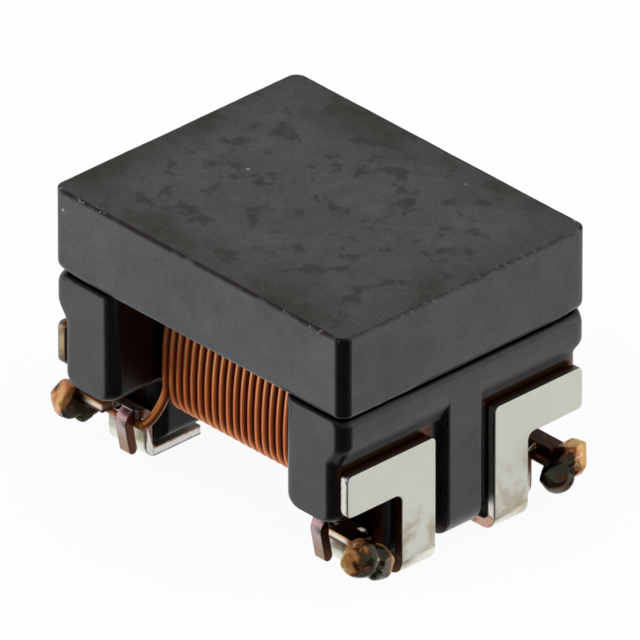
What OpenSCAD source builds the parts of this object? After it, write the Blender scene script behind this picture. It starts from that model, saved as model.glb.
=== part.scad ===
// Surface mount common mode choke: a ferrite drum core with a ferrite plate bonded on top,
// two wires wound side by side on the post, and four folded sheet terminals with weld beads.
// Millimetres. X is the winding axis, Z is up, the solder feet stand on Z = 0.

/* [Body] */
// length of plate and drum core over their end faces
body_length = 3.95; // [3.7:0.01:4.3]
// width of plate and drum core over their sides
body_width = 3.12; // [2.95:0.01:3.4]

/* [Plate core] */
// thickness of the ferrite plate
plate_thickness = 0.87; // [0.6:0.01:1.2]
// radius of the plate's four upright corners
plate_corner = 0.12; // [0.05:0.01:0.2]
// edge break around the top face
plate_top_break = 0.02; // [0.005:0.005:0.04]
// edge radius around the bottom face
plate_bottom_round = 0.07; // [0.02:0.005:0.1]
// bond line between plate and flanges
plate_bond_thickness = 0.02; // [0.01:0.005:0.05]
// distance the bond stays back from the flange edges
plate_bond_setback = 0.11; // [0.08:0.01:0.2]

/* [Drum core] */
// height of the flanges at their middle
core_height = 1.79; // [1.7:0.01:2.1]
// thickness of each flange
flange_thickness = 0.82; // [0.7:0.01:0.95]
// radius of the upright flange edges
flange_corner = 0.13; // [0.05:0.01:0.16]
// radius along the top outer edge of the flanges
flange_top_round = 0.09; // [0.02:0.01:0.1]
// radius along the top side edges of the flanges
flange_side_round = 0.05; // [0.02:0.01:0.1]
// radius along the lower inner edge of the flanges and around the notch roof
flange_low_round = 0.1; // [0.04:0.01:0.11]
// radius along the lower outer edge of the middle block
block_toe_round = 0.22; // [0.1:0.01:0.26]
// width of the middle block that stands between the corner notches
block_width = 1.934; // [1.8:0.002:2.05]
// height of the corner notches
notch_height = 0.64; // [0.58:0.01:0.7]
// width of the upright rib on each end face
rib_width = 0.42; // [0.2:0.01:0.5]
// height of the S-shaped ledge above the terminal recess
ledge_height = 0.24; // [0.1:0.01:0.3]
// clear height between terminal and ledge
ledge_clearance = 0.065; // [0.03:0.005:0.1]

/* [Winding post] */
// width of the winding post
post_width = 1.75; // [1.5:0.01:1.85]
// height of the winding post
post_height = 1.19; // [1.05:0.01:1.22]
// clear height between winding and plate
plate_clearance = 0.048; // [0.02:0.002:0.1]
// radius of the post's upper edges
post_top_corner = 0.4; // [0.2:0.01:0.5]
// radius of the post's lower edges
post_low_corner = 0.2; // [0.15:0.01:0.3]
// depth to which the post runs into each flange
post_root = 0.3; // [0.1:0.05:0.4]

/* [Windings] */
// outside diameter of the enamelled wire
wire_diameter = 0.095; // [0.08:0.001:0.11]
// gap between neighbouring wires
wire_gap = 0.0024; // [0.0022:0.0002:0.01]
// least room between the winding and a flange
side_room = 0.025; // [0.015:0.005:0.1]
// clearance between wire and post
winding_clearance = 0.012; // [0.011:0.001:0.02]
// how far the wire bows out between the post's edges
winding_bow = 0.015; // [0:0.005:0.03]
// how long a lead keeps its direction where it leaves the wire channel
lead_pull = 0.1; // [0.06:0.01:0.15]
// how long a lead keeps its direction where it joins the coil
lead_rise = 0.16; // [0.1:0.01:0.32]

/* [Terminals] */
// sheet thickness of the terminals
sheet = 0.1; // [0.08:0.005:0.11]
// bond between terminal and end face
terminal_bond_thickness = 0.015; // [0.01:0.005:0.03]
// distance the bond stays back from the terminal edges
terminal_bond_setback = 0.06; // [0.02:0.01:0.1]
// gap between the solder foot and the core
foot_gap = 0.06; // [0.04:0.005:0.1]
// distance from the rib to a terminal's leg
leg_clearance = 0.168; // [0.05:0.002:0.2]
// width of a terminal's leg
leg_width = 0.43; // [0.3:0.01:0.46]
// distance from the flange's side to the end of the arm
arm_inset = 0.06; // [0.04:0.01:0.2]
// height of the arm's upper edge above the board
arm_top = 1.355; // [1.3:0.005:1.4]
// height of the arm
arm_height = 0.445; // [0.36:0.005:0.46]
// radius of the terminal's outline corners
outline_round = 0.06; // [0.03:0.01:0.08]
// radius in the inner corner of the outline
outline_fillet = 0.08; // [0.04:0.01:0.1]
// inside radius of the bend between leg and foot
foot_bend = 0.07; // [0.05:0.01:0.14]
// inside radius of the small bends
small_bend = 0.05; // [0.03:0.005:0.06]
// distance the foot stays back from the flange's inner face
foot_setback = 0.065; // [0.03:0.005:0.1]
// clearance between the middle block and the riser
riser_clearance = 0.025; // [0.015:0.005:0.04]
// distance the riser ends short of the bend to the leg
riser_setback = 0.08; // [0.01:0.01:0.1]
// height of the wire shelf's upper face
shelf_top = 0.57; // [0.54:0.005:0.6]

/* [Wire claws] */
// clearance around the wire in its channel
channel_clearance = 0.01; // [0.008:0.001:0.014]
// width of the claw that holds the wire
claw_width = 0.145; // [0.08:0.005:0.2]
// distance from the foot's inner end to the claw
claw_setback = 0.04; // [0.03:0.005:0.08]
// inside radius of the claw's fold
claw_fold = 0.028; // [0.02:0.002:0.032]
// lean of the claw towards the riser in degrees
claw_lean = 11; // [6:1:12]
// height of the claw's tip above the board
claw_tip = 0.11; // [0.03:0.01:0.15]
// gap between the claw and the shelf's lip
lip_gap = 0.14; // [0.1:0.01:0.18]
// width of the shelf's lip beyond the wire channel
lip_width = 0.13; // [0.08:0.005:0.15]

/* [Weld beads] */
// distance from the end face back to the weld plane
weld_setback = 0.075; // [0.05:0.005:0.09]
// radius of the main bead
bead_radius = 0.165; // [0.155:0.005:0.2]
// distance of the bead's middle beyond the weld plane
bead_reach = 0.09; // [0.06:0.01:0.1]
// distance of the bead's middle below the wire shelf
bead_drop = 0.15; // [0.1:0.01:0.16]
// radius of the bead's side lump
lump_radius = 0.185; // [0.15:0.005:0.2]
// distance of the lump's middle beyond the weld plane
lump_reach = 0.08; // [0.04:0.01:0.1]
// distance of the lump's middle below the wire shelf
lump_drop = 0.03; // [0:0.01:0.06]
// sideways distance from the main bead to the lump
lump_offset = 0.2; // [0.12:0.005:0.22]

/* [Hidden] */
$fn = 64;
// oversize for cutting shapes
spare = 1;
// flats along the ledge
ledge_flats = 12;
half_core = body_length / 2;
window = half_core - flange_thickness;
core_bottom = sheet + foot_gap;
core_top = core_bottom + core_height;
notch_roof = core_bottom + notch_height;
plate_bottom = core_top + plate_bond_thickness;
plate_top = plate_bottom + plate_thickness;
recess_floor = half_core - sheet - terminal_bond_thickness;
recess_top = arm_top + ledge_clearance;
wire_radius = wire_diameter / 2;
wire_pitch = wire_diameter + wire_gap;
post_top = plate_bottom - plate_clearance - winding_bow - wire_diameter - winding_clearance;
post_bottom = post_top - post_height;
face_back = half_core - sheet;
leg_offset = rib_width / 2 + leg_clearance;
leg_outer = leg_offset + leg_width;
arm_reach = body_width / 2 - arm_inset;
arm_bottom = arm_top - arm_height;
foot_middle = face_back - foot_bend;
foot_end = window + foot_setback;
riser_inner = block_width / 2 + riser_clearance;
riser_outer = riser_inner + sheet;
riser_end = foot_middle - riser_setback;
shelf_low = shelf_top - sheet;
claw_start = foot_end + claw_setback;
claw_inner = riser_outer + wire_diameter + 2 * channel_clearance;
lip_start = claw_start + claw_width + lip_gap;
wire_y = (riser_outer + claw_inner) / 2;
wire_z = shelf_low - channel_clearance - wire_radius;
weld_plane = half_core - weld_setback;
ferrite = [0.21, 0.21, 0.22];
copper = [0.72, 0.4, 0.2];
tin = [0.8, 0.79, 0.75];
resin = [0.3, 0.25, 0.18];
weld = [0.6, 0.42, 0.2];

// Helpers

// copies for the four corners: 1 is at -X -Y, 2 at +X -Y, 3 at +X +Y, 4 at -X +Y
module at_corner(number) {
  flip_x = (number == 1 || number == 4) ? 1 : 0;
  flip_y = (number == 1 || number == 2) ? 1 : 0;
  mirror([flip_x, 0, 0]) mirror([0, flip_y, 0]) children();
}

// extrude an X-Z outline across a width, centred on Y = 0
module across(width) {
  rotate([90, 0, 0]) linear_extrude(height = width, center = true) children();
}

// extrude a Y-Z outline along X from a start value
module along(start, length) {
  translate([start, 0, 0]) rotate([90, 0, 90]) linear_extrude(height = length) children();
}

// what is cut off a square corner to round it: corner at the origin, material towards +x +y
module corner_piece(radius) {
  difference() {
    translate([-spare, -spare]) square(radius + spare);
    translate([radius, radius]) circle(radius);
  }
}

// rectangle with four rounded corners, centred
module rounded(length, width, radius) {
  difference() {
    square([length, width], center = true);
    for (sx = [0, 1], sy = [0, 1]) mirror([sx, 0]) mirror([0, sy])
      translate([-length / 2, -width / 2]) corner_piece(radius);
  }
}

// Cores

// side view of a flange: from a lower edge up, out to an end face
module flange_side(low, face, toe_round) {
  difference() {
    translate([window, low]) square([face - window, core_top - low]);
    translate([window, low]) corner_piece(flange_low_round);
    translate([face, low]) mirror([1, 0]) corner_piece(toe_round);
    translate([half_core, core_top]) rotate(180) corner_piece(flange_top_round);
  }
}

// side view of the proud band above the terminals; its ledge swells out as half a cosine wave
module band_side() {
  ledge = [for (step = [0 : ledge_flats]) let (share = step / ledge_flats)
    [recess_floor + (half_core - recess_floor) * (1 - cos(180 * share)) / 2,
      recess_top + ledge_height * share]];
  difference() {
    polygon(concat([[window, core_top], [window, recess_top]], ledge, [[half_core, core_top]]));
    translate([half_core, core_top]) rotate(180) corner_piece(flange_top_round);
  }
}

// end view of the proud band, with rounded top side edges
module band_end() {
  difference() {
    translate([-body_width / 2, recess_top]) square([body_width, core_top - recess_top]);
    for (sy = [0, 1]) mirror([sy, 0])
      translate([body_width / 2, core_top]) rotate(180) corner_piece(flange_side_round);
  }
}

// flange body between two heights, with rounded upright edges
module upright(face, width, low, high) {
  translate([(window + face) / 2, 0, low]) linear_extrude(height = high - low)
    rounded(face - window, width, flange_corner);
}

// one flange with notches, recesses, ledges and rib
module flange() {
  intersection() {
    upright(half_core, body_width, recess_top, core_top);
    across(body_width) band_side();
    along(window, flange_thickness) band_end();
  }
  intersection() {
    upright(recess_floor, body_width, notch_roof, recess_top);
    across(body_width) flange_side(notch_roof, recess_floor, flange_low_round);
  }
  intersection() {
    upright(recess_floor, block_width, core_bottom, recess_top);
    across(block_width) flange_side(core_bottom, recess_floor, block_toe_round);
  }
  intersection() {
    across(rib_width) flange_side(core_bottom, half_core, block_toe_round);
    translate([recess_floor - flange_low_round, -rib_width / 2, core_bottom])
      cube([half_core, rib_width, core_height]);
  }
}

// cross section of the winding post
module post_outline() {
  difference() {
    translate([-post_width / 2, post_bottom]) square([post_width, post_height]);
    for (sx = [0, 1]) mirror([sx, 0]) {
      translate([-post_width / 2, post_bottom]) corner_piece(post_low_corner);
      translate([-post_width / 2, post_top]) mirror([0, 1]) corner_piece(post_top_corner);
    }
  }
}

module drum_core() {
  color(ferrite) {
    flange();
    rotate([0, 0, 180]) flange();
    along(-window - post_root, 2 * (window + post_root)) post_outline();
  }
}

// what the edge breaks take from two opposite sides of the plate
module break_side(half) {
  for (sx = [0, 1]) mirror([sx, 0]) {
    polygon([[half - plate_top_break, plate_top], [half, plate_top - plate_top_break],
      [half + spare, plate_top - plate_top_break], [half + spare, plate_top + spare],
      [half - plate_top_break, plate_top + spare]]);
    translate([half, plate_bottom]) mirror([1, 0]) corner_piece(plate_bottom_round);
  }
}

module plate_core() {
  color(ferrite) difference() {
    translate([0, 0, plate_bottom]) linear_extrude(height = plate_thickness)
      rounded(body_length, body_width, plate_corner);
    across(body_width + spare) break_side(body_length / 2);
    rotate([0, 0, 90]) across(body_length + spare) break_side(body_width / 2);
  }
}

module plate_bond() {
  translate([window + plate_bond_setback, plate_bond_setback - body_width / 2, core_top])
    cube([flange_thickness - 2 * plate_bond_setback, body_width - 2 * plate_bond_setback,
      plate_bond_thickness]);
}
module plate_bond_1() {
  color(resin) rotate([0, 0, 180]) plate_bond();
}
module plate_bond_2() {
  color(resin) plate_bond();
}

// Windings: one path runs from the weld at corner 1 up the -Y side, round the post and out to corner 2

loop_half = post_width / 2 + winding_clearance + wire_radius;
loop_low = post_bottom - winding_clearance - wire_radius;
loop_high = post_top + winding_clearance + wire_radius;
low_round = post_low_corner + winding_clearance + wire_radius;
high_round = post_top_corner + winding_clearance + wire_radius;
low_bend = loop_low + low_round;
high_bend = loop_high - high_round;
low_edge = loop_half - low_round;
high_edge = loop_half - high_round;
function arc(cy, cz, r, from, to, steps) = [for (i = [0 : steps])
  let (a = from + (to - from) * i / steps) [cy + r * cos(a), cz + r * sin(a)]];
function bowed(p, q, out) = [for (s = [1 / 3, 2 / 3])
  p + (q - p) * s + out * (winding_bow * 4 * s * (1 - s))];
upper_loop = concat(
  bowed([-loop_half, low_bend], [-loop_half, high_bend], [-1, 0]),
  arc(-high_edge, high_bend, high_round, 180, 90, 4),
  bowed([-high_edge, loop_high], [high_edge, loop_high], [0, 1]),
  arc(high_edge, high_bend, high_round, 90, 0, 4),
  bowed([loop_half, high_bend], [loop_half, low_bend], [1, 0]));
low_corner = arc(-low_edge, low_bend, low_round, -90, -180, 3);
lower_loop = concat(
  arc(low_edge, low_bend, low_round, 0, -90, 3),
  bowed([low_edge, loop_low], [-low_edge, loop_low], [0, -1]),
  low_corner);
loop = concat(upper_loop, lower_loop);
advance = 2 * wire_pitch;
// share of a turn by which the upper part of the loop is more than a half turn
upper_share = (len(upper_loop) - 1) / len(loop) - 0.5;
// as many turns of each wire as fit between the flanges
turns = floor((window - side_room - wire_radius) / wire_pitch - upper_share);
// this start puts each wire midway between the turns of its half turned copy
coil_start = -wire_pitch * (turns + upper_share);
coil_last = turns * len(loop) - len(low_corner);
coil = [for (i = [0 : coil_last]) let (p = loop[i % len(loop)])
  [coil_start + advance * i / len(loop), p[0], p[1]]];
lead_x = foot_end;
lead_in = [-lead_x, -wire_y, wire_z];
lead_out = [lead_x, -wire_y, wire_z];
first = [coil_start - advance / len(loop), -loop_half, low_bend];
last = coil[coil_last];
function bezier(a, b, c, d, steps) = [for (i = [1 : steps - 1]) let (t = i / steps, u = 1 - t)
  a * pow(u, 3) + b * (3 * u * u * t) + c * (3 * u * t * t) + d * pow(t, 3)];
wire_path = concat(
  [[-weld_plane, -wire_y, wire_z], lead_in],
  bezier(lead_in, lead_in + [lead_pull, 0, 0], first - [0, 0, lead_rise], first, 9),
  [first],
  coil,
  bezier(last, last - [0, lead_rise, 0], lead_out - [lead_pull, 0, 0], lead_out, 9),
  [lead_out, [weld_plane, -wire_y, wire_z]]);
path_last = len(wire_path) - 1;
function unit(v) = v / norm(v);
tangents = [for (i = [0 : path_last]) (i == 0 || i == path_last) ? [1, 0, 0]
  : unit(unit(wire_path[i + 1] - wire_path[i]) + unit(wire_path[i] - wire_path[i - 1]))];
// the section is carried along without twist: each normal is the one before, made square to the path
function carried(n, t) = unit(n - t * (n * t));
normals = [for (i = 0, n = [0, 0, 1]; i <= path_last;
  i = i + 1, n = i <= path_last ? carried(n, tangents[i]) : n) n];
wire_sides = 8;
wire_points = [for (i = [0 : path_last], k = [0 : wire_sides - 1])
  let (a = 360 * k / wire_sides, n = normals[i], b = cross(tangents[i], n))
  wire_path[i] + wire_radius * (n * cos(a) + b * sin(a))];
function wall(a, b) = [[a, a + wire_sides, b + wire_sides], [a, b + wire_sides, b]];
wire_faces = concat(
  [for (i = [0 : path_last - 1], k = [0 : wire_sides - 1])
    each wall(i * wire_sides + k, i * wire_sides + (k + 1) % wire_sides)],
  [[for (k = [0 : wire_sides - 1]) k]],
  [[for (k = [wire_sides - 1 : -1 : 0]) path_last * wire_sides + k]]);

module winding() {
  polyhedron(points = wire_points, faces = wire_faces, convexity = 20);
}
module winding_a() {
  color(copper) winding();
}
module winding_b() {
  color(copper) rotate([0, 0, 180]) winding();
}

// Terminals

// front view of a terminal's face, in Y and Z
module face_outline() {
  leg_low = sheet + foot_bend;
  difference() {
    union() {
      translate([leg_offset, leg_low]) square([leg_width, arm_top - leg_low]);
      translate([leg_offset, arm_bottom]) square([arm_reach - leg_offset, arm_height]);
      difference() {
        translate([leg_outer, arm_bottom - outline_fillet]) square(outline_fillet);
        translate([leg_outer + outline_fillet, arm_bottom - outline_fillet]) circle(outline_fillet);
      }
    }
    translate([leg_offset, arm_top]) mirror([0, 1]) corner_piece(outline_round);
    translate([arm_reach, arm_top]) rotate(180) corner_piece(outline_round);
    translate([arm_reach, arm_bottom]) mirror([1, 0]) corner_piece(outline_round);
  }
}

// quarter ring of sheet, bend centre at the origin, in the corner towards +x -y
module quarter_ring(inside) {
  difference() {
    intersection() {
      circle(inside + sheet);
      translate([0, -spare]) square(spare);
    }
    circle(inside);
  }
}

// end view of foot, riser and wire shelf, in Y and Z
module shelf_outline() {
  riser_low = sheet + small_bend;
  riser_high = shelf_low - small_bend;
  translate([leg_offset, 0]) square([riser_inner - small_bend - leg_offset, sheet]);
  translate([riser_inner - small_bend, riser_low]) quarter_ring(small_bend);
  translate([riser_inner, riser_low]) square([sheet, riser_high - riser_low]);
  translate([riser_outer + small_bend, riser_high]) rotate(180) quarter_ring(small_bend);
  translate([riser_outer + small_bend, shelf_low])
    square([claw_inner - claw_fold - riser_outer - small_bend, sheet]);
}

// end view of the claw: a fold at the shelf's edge and a finger hanging past the wire
module claw_outline() {
  hang = (shelf_low - claw_fold - claw_tip - sheet / 2) / cos(claw_lean);
  translate([claw_inner - claw_fold, shelf_low - claw_fold]) {
    difference() {
      intersection() {
        circle(claw_fold + sheet);
        polygon([[0, 0], [0, spare], [spare, spare], spare * [cos(claw_lean), -sin(claw_lean)]]);
      }
      circle(claw_fold);
    }
    rotate(-claw_lean) {
      translate([claw_fold, -hang]) square([sheet, hang]);
      translate([claw_fold + sheet / 2, -hang]) circle(sheet / 2);
    }
  }
}

module terminal() {
  color(tin) {
    along(face_back, sheet) face_outline();
    translate([0, leg_offset + leg_width / 2, 0]) across(leg_width) {
      translate([foot_middle, sheet + foot_bend]) quarter_ring(foot_bend);
      translate([foot_end, 0]) square([foot_middle - foot_end, sheet]);
    }
    along(foot_end, riser_end - foot_end) shelf_outline();
    translate([claw_start, riser_outer + small_bend, shelf_low])
      cube([weld_plane - claw_start, claw_inner - riser_outer - small_bend, sheet]);
    along(claw_start, claw_width) claw_outline();
    translate([lip_start, claw_inner - claw_fold, shelf_low])
      cube([weld_plane - lip_start, claw_fold + lip_width, sheet]);
  }
}
module terminal_1() {
  at_corner(1) terminal();
}
module terminal_2() {
  at_corner(2) terminal();
}
module terminal_3() {
  at_corner(3) terminal();
}
module terminal_4() {
  at_corner(4) terminal();
}

// bond film behind a terminal's face
module terminal_bond() {
  inner = leg_offset + terminal_bond_setback;
  high = arm_top - terminal_bond_setback;
  low = core_bottom + block_toe_round + terminal_bond_setback;
  arm_low = arm_bottom + terminal_bond_setback;
  color(resin) translate([recess_floor, inner, 0]) {
    translate([0, 0, low])
      cube([terminal_bond_thickness, leg_width - 2 * terminal_bond_setback, high - low]);
    translate([0, 0, arm_low])
      cube([terminal_bond_thickness, arm_reach - terminal_bond_setback - inner, high - arm_low]);
  }
}
module terminal_bond_1() {
  at_corner(1) terminal_bond();
}
module terminal_bond_2() {
  at_corner(2) terminal_bond();
}
module terminal_bond_3() {
  at_corner(3) terminal_bond();
}
module terminal_bond_4() {
  at_corner(4) terminal_bond();
}

// Weld beads: two merged drops with a flat back on the ends of shelf and wire

// drop with a flat back on X = 0 and its middle at a reach beyond it
module drop(radius, reach) {
  rotate([0, 90, 0]) rotate_extrude() intersection() {
    translate([0, reach]) circle(radius);
    square(spare);
  }
}
module weld_bead() {
  color(weld) translate([weld_plane, wire_y, shelf_low]) {
    translate([0, 0, -bead_drop]) drop(bead_radius, bead_reach);
    translate([0, lump_offset, -lump_drop]) drop(lump_radius, lump_reach);
  }
}
module weld_bead_1() {
  at_corner(1) weld_bead();
}
module weld_bead_2() {
  at_corner(2) weld_bead();
}
module weld_bead_3() {
  at_corner(3) weld_bead();
}
module weld_bead_4() {
  at_corner(4) weld_bead();
}

drum_core();
plate_core();
plate_bond_1();
plate_bond_2();
winding_a();
winding_b();
terminal_1();
terminal_2();
terminal_3();
terminal_4();
terminal_bond_1();
terminal_bond_2();
terminal_bond_3();
terminal_bond_4();
weld_bead_1();
weld_bead_2();
weld_bead_3();
weld_bead_4();
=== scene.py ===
import math

import bmesh
import bpy
import numpy as np
from mathutils import Matrix


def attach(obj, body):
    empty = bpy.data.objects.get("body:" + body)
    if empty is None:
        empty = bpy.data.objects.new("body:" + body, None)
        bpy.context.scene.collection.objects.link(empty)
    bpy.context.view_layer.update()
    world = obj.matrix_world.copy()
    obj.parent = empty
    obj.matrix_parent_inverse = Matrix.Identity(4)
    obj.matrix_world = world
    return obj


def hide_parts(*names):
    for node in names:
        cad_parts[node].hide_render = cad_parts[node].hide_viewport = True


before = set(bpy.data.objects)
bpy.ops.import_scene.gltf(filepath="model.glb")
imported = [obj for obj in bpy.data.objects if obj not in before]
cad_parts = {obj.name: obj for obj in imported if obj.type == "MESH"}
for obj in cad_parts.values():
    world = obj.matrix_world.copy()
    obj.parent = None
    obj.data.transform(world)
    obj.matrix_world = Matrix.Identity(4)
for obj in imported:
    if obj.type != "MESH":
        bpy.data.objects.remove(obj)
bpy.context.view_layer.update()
scene = bpy.context.scene
mm = 0.001  # shapes are worked out in millimetres and brought to metres when a piece is finished
print("frame loaded with", len(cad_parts), "nodes")

# sizes that several pieces share
core = {"half": 1.975, "side": 1.56, "window": 1.155, "low": 0.16, "high": 1.95}
metal = {"sheet": 0.1, "wireRadius": 0.0475, "wireY": 1.1495, "wireZ": 0.4125, "weldPlane": 1.9,
         "overlap": 0.02}
wear = {"reach": 0.4, "light": 0.15}


# mesh helpers
def workObject(name, points, faces):
    mesh = bpy.data.meshes.new(name)
    mesh.from_pydata(np.asarray(points, float).tolist(), [], faces)
    obj = bpy.data.objects.new(name, mesh)
    scene.collection.objects.link(obj)
    return obj


# quads of a grid of points, wrapped round in the second direction
def ringQuads(rows, columns):
    index = np.arange(rows * columns).reshape(rows, columns)
    index = np.concatenate([index, index[:, :1]], 1)
    quads = np.stack([index[:-1, :-1], index[1:, :-1], index[1:, 1:], index[:-1, 1:]], -1)
    return quads.reshape(-1, 4).tolist()


def storeFloat(mesh, name, values, domain="POINT"):
    layer = mesh.attributes.new(name, "FLOAT", domain)
    layer.data.foreach_set("value", np.asarray(values, np.float32).ravel())


def mergeClose(obj, reach=2e-5):
    bm = bmesh.new()
    bm.from_mesh(obj.data)
    bmesh.ops.remove_doubles(bm, verts=bm.verts, dist=reach)
    bmesh.ops.dissolve_degenerate(bm, edges=bm.edges, dist=reach)
    bmesh.ops.recalc_face_normals(bm, faces=bm.faces)
    bm.to_mesh(obj.data)
    bm.free()


# closed body from rings of points: quads between neighbouring rings, one flat face on each end
def ringBody(name, rings, marks=None):
    rows, columns = rings.shape[:2]
    faces = ringQuads(rows, columns)
    faces.append(list(range(columns)))
    faces.append(list(range((rows - 1) * columns, rows * columns))[::-1])
    obj = workObject(name, rings.reshape(-1, 3), faces)
    for label, values in (marks or {}).items():
        storeFloat(obj.data, label, values)
    mergeClose(obj)
    return obj


def bevelEdges(obj, width, segments=2, angle=40):
    bevel = obj.modifiers.new("edgeRound", "BEVEL")
    bevel.width = width
    bevel.segments = segments
    bevel.limit_method = "ANGLE"
    bevel.angle_limit = math.radians(angle)
    bevel.use_clamp_overlap = False


# one mesh from several closed bodies, with an edge rounding on the whole where a width is given
def unite(name, bodies, edgeRound=0):
    first = bodies[0]
    for other in bodies[1:]:
        union = first.modifiers.new("union", "BOOLEAN")
        union.operation = "UNION"
        union.solver = "EXACT"
        union.object = other
    if edgeRound:
        bevelEdges(first, edgeRound)
    graph = bpy.context.evaluated_depsgraph_get()
    mesh = bpy.data.meshes.new_from_object(first.evaluated_get(graph))
    mesh.name = name
    for item in bodies:
        bpy.data.objects.remove(item)
    return mesh


# one vector of each vertex or face of a mesh, as rows of one array
def vectorsOf(items, label):
    values = np.empty(len(items) * 3, np.float32)
    items.foreach_get(label, values)
    return values.reshape(-1, 3)


# turn a body given for the corner at +X +Y to another corner by signs on X and Y
def mirrored(mesh, signX, signY):
    points = vectorsOf(mesh.vertices, "co") * np.array([signX, signY, 1], np.float32)
    mesh.vertices.foreach_set("co", points.ravel())
    if signX * signY < 0:
        mesh.flip_normals()
    return mesh


# faces larger than flatOver, in square millimetres, are shaded flat
def finishPiece(name, mesh, node, material, angle=35, flatOver=99):
    area = np.empty(len(mesh.polygons), np.float32)
    mesh.polygons.foreach_get("area", area)
    mesh.vertices.foreach_set("co", (vectorsOf(mesh.vertices, "co") * mm).ravel())
    mesh.set_sharp_from_angle(angle=math.radians(angle))
    mesh.polygons.foreach_set("use_smooth", area < flatOver)
    mesh.update()
    mesh.materials.clear()
    mesh.materials.append(material)
    obj = bpy.data.objects.new(name, mesh)
    scene.collection.objects.link(obj)
    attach(obj, "root")
    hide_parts(node)


def arcPoints(cx, cy, radius, start, end, steps):
    a = np.radians(np.linspace(start, end, steps + 1))
    return np.column_stack([cx + radius * np.cos(a), cy + radius * np.sin(a)])


# arc through a corner: from one tangent point to the other round the centre on the bisector
def cornerArc(before, corner, after, radius, steps):
    before, corner, after = (np.asarray(p, float) for p in (before, corner, after))
    inDir = (before - corner) / np.linalg.norm(before - corner)
    outDir = (after - corner) / np.linalg.norm(after - corner)
    half = math.acos(np.clip(inDir @ outDir, -1, 1)) / 2
    middle = corner + (inDir + outDir) / np.linalg.norm(inDir + outDir) * radius / math.sin(half)
    start = corner + inDir * radius / math.tan(half) - middle
    turn = np.linspace(0, math.pi - 2 * half, steps + 1)
    return middle + start * np.cos(turn)[:, None] - inDir * radius * np.sin(turn)[:, None]


# closed outline with a radius at each corner, and a point close to each end of an arc
def roundOutline(corners, radii, steps=6, near=0.006):
    points = []
    count = len(corners)
    for i, corner in enumerate(corners):
        before, after = np.array(corners[i - 1]), np.array(corners[(i + 1) % count])
        if radii[i] <= 0:
            points.append([corner])
            continue
        arc = cornerArc(before, corner, after, radii[i], steps)
        first = (before - arc[0]) / np.linalg.norm(before - arc[0]) * near
        last = (after - arc[-1]) / np.linalg.norm(after - arc[-1]) * near
        points += [[arc[0] + first], arc, [arc[-1] + last]]
    return np.concatenate([np.asarray(p, float) for p in points])


# prism of a flat outline, carried straight along one axis
def prism(name, outline, axis, start, end):
    ends = []
    for value in (start, end):
        columns = [outline[:, 0], outline[:, 1]]
        columns.insert(axis, np.full(len(outline), value))
        ends.append(np.stack(columns, 1))
    return ringBody(name, np.array(ends))


# shader helpers
def put(tree, kind, inputs=None, **settings):
    item = tree.nodes.new(kind)
    for key, value in settings.items():
        setattr(item, key, value)
    for key, value in (inputs or {}).items():
        if isinstance(value, bpy.types.NodeSocket):
            tree.links.new(value, item.inputs[key])
        else:
            item.inputs[key].default_value = value
    return item


def calc(tree, operation, a, b=0.0, clamp=False):
    return put(tree, "ShaderNodeMath", {0: a, 1: b}, operation=operation, use_clamp=clamp).outputs[0]


def product(tree, first, *others):
    for other in others:
        first = calc(tree, "MULTIPLY", first, other)
    return first


# a colour is a socket, or three numbers
def blendColor(tree, factor, a, b, mode="MIX"):
    a, b = (c if isinstance(c, bpy.types.NodeSocket) else (*c, 1) for c in (a, b))
    mix = put(tree, "ShaderNodeMix", {0: factor, 6: a, 7: b}, data_type="RGBA", blend_type=mode)
    return mix.outputs[2]


# colour with tints laid over it in turn, each by its own mask
def overlay(tree, color, *layers):
    for mask, tint in layers:
        color = blendColor(tree, mask, color, tint)
    return color


# soft step of a value from low to high, which may run downwards
def spread(tree, value, low, high, toLow=0.0, toHigh=1.0):
    inputs = {"Value": value, "From Min": low, "From Max": high, "To Min": toLow, "To Max": toHigh}
    return put(tree, "ShaderNodeMapRange", inputs, interpolation_type="SMOOTHSTEP").outputs["Result"]


# a mask from 0 to 1 brought to another range
def ranged(tree, mask, low, high):
    return calc(tree, "ADD", product(tree, mask, high - low), low)


def separate(tree, vector):
    return put(tree, "ShaderNodeSeparateXYZ", {0: vector}).outputs


# what zones are told apart by: distance from the middle planes, height, and which way the surface faces
def quantities(tree, where):
    x, y, z = separate(tree, where)
    faceX, faceY, up = separate(tree, put(tree, "ShaderNodeNewGeometry").outputs["Normal"])
    found = {"endwise": x, "z": z, "up": up}
    for label, value in (("x", x), ("y", y), ("faceX", faceX), ("faceY", faceY)):
        found[label] = calc(tree, "ABSOLUTE", value)
    return found


# zone: product of soft steps; each band names a quantity, where its step starts and where it is full
def makeZones(tree, at, look):
    zones = {}
    for label, bands in look["zones"].items():
        zones[label] = product(tree, *(spread(tree, at[key], start, full) for key, start, full in bands))
    return zones


def newGroup(name, inputs, output):
    tree = bpy.data.node_groups.new(name, "ShaderNodeTree")
    tree.interface.new_socket("Vector", in_out="INPUT", socket_type="NodeSocketVector")
    for label, value in inputs.items():
        socket = tree.interface.new_socket(label, in_out="INPUT", socket_type="NodeSocketFloat")
        socket.default_value = value
    tree.interface.new_socket(output, in_out="OUTPUT", socket_type="NodeSocketFloat")
    return tree, tree.nodes.new("NodeGroupInput").outputs, tree.nodes.new("NodeGroupOutput").inputs


# group node in a material: its settings in the order of the group's inputs after the vector
def place(tree, group, vector, *settings):
    item = tree.nodes.new("ShaderNodeGroup")
    item.node_tree = group
    tree.links.new(vector, item.inputs[0])
    for socket, value in zip(item.inputs[1:], settings):
        if isinstance(value, bpy.types.NodeSocket):
            tree.links.new(value, socket)
        else:
            socket.default_value = value
    return item.outputs[0]


def noise(tree, vector, scale, detail, roughness=0.5):
    inputs = {"Vector": vector, "Scale": scale, "Detail": detail, "Roughness": roughness}
    return put(tree, "ShaderNodeTexNoise", inputs).outputs


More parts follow.
